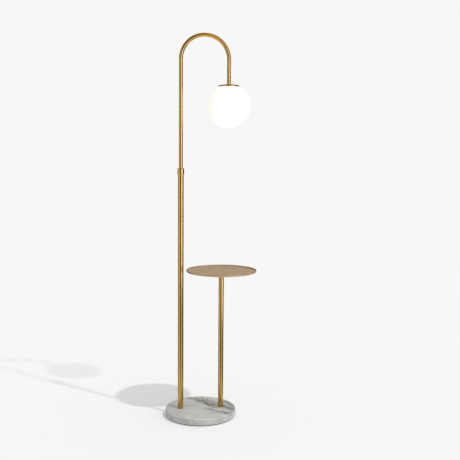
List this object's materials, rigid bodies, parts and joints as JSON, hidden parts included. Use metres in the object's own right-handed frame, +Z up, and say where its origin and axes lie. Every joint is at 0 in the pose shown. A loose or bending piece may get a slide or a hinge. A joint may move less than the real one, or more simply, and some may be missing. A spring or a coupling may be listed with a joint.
{
  "type": "floor lamp",
  "caption": "Floor lamp with a side tray: marble disc base, telescopic gooseneck pole with a hanging opal glass globe, and a second shorter post carrying a round lipped tray.",
  "frame": {"origin": "centre of the base on the floor", "axes": "+Z up; both poles stand on the X axis, main pole at -X and tray post at +X; the gooseneck hangs its globe towards +X"},
  "size_m": [0.375, 0.293, 1.5709],
  "materials": {
    "marble": "honed, pale grey with darker veins",
    "foam_pad": "matte closed-cell foam",
    "zinc_steel": "zinc plated",
    "machined_brass": "turned",
    "brushed_brass": "satin brushed, lacquered",
    "polished_brass": "polished, lacquered",
    "tray_finish": "satin bronze lacquer",
    "nylon": "natural",
    "black_plastic": "moulded",
    "white_plastic": "moulded",
    "lead_sheath": "smooth sheath",
    "silicone": "matte",
    "spring_steel": "rolled strip",
    "holder_ceramic": "unglazed",
    "bulb_diffuser": "satin diffuser",
    "opal_glass": "opal, satin outside, lit from within"
  },
  "bodies": {
    "base": {"marble_base": "marble", "base_pad": "foam_pad", "base_plate": "zinc_steel", "plate_inserts": "machined_brass", "plate_screws": "zinc_steel", "cable_gland": "black_plastic", "terminal_block": "white_plastic", "terminal_screws": "zinc_steel", "base_washers": "zinc_steel", "base_nuts": "zinc_steel", "pole_nipple": "zinc_steel", "pole_foot_plug": "zinc_steel", "pole_tube": "brushed_brass", "pole_ferrule": "machined_brass", "grip_ring": "nylon", "pole_lead": "lead_sheath", "post_stud": "zinc_steel", "post_foot_plug": "zinc_steel", "tray_post": "brushed_brass", "post_top_plug": "zinc_steel", "tray_stud": "zinc_steel", "tray_flange": "tray_finish", "tray_pan": "tray_finish"},
    "collar": {"lock_collar": "polished_brass"},
    "guide": {"guide_bush": "nylon"},
    "gooseneck": {"gooseneck_tube": "brushed_brass", "neck_grommet": "black_plastic", "stop_ring": "zinc_steel", "gooseneck_lead": "lead_sheath", "head_plug": "zinc_steel", "head_nipple": "zinc_steel", "shade_cap": "brushed_brass", "cap_gasket": "silicone", "globe_springs": "spring_steel", "cap_washer": "zinc_steel", "cap_nut": "zinc_steel", "lampholder_top": "black_plastic", "lampholder_skirt": "black_plastic", "contact_block": "holder_ceramic", "holder_contacts": "machined_brass", "bulb_screw_cap": "zinc_steel", "bulb_body": "white_plastic", "bulb_dome": "bulb_diffuser"},
    "globe": {"glass_globe": "opal_glass"}
  },
  "joints": [
    {"name": "collar_twist", "type": "hinge", "parent": "base", "child": "collar", "pos_m": [-0.084, 0, 1.018], "axis": [0, 0, 1], "range_deg": [0, 90]},
    {"name": "gooseneck_height", "type": "slide", "parent": "base", "child": "guide", "axis": [0, 0, 1], "range_m": [-0.3, 0], "deforming": ["pole_lead"]},
    {"name": "gooseneck_swivel", "type": "hinge", "parent": "guide", "child": "gooseneck", "pos_m": [-0.084, 0, 0.9], "axis": [0, 0, 1], "range_deg": [-175, 175]},
    {"name": "globe_release", "type": "slide", "parent": "gooseneck", "child": "globe", "axis": [0, 0, 1], "range_m": [-0.16, 0], "deforming": ["globe_springs"]}
  ]
}
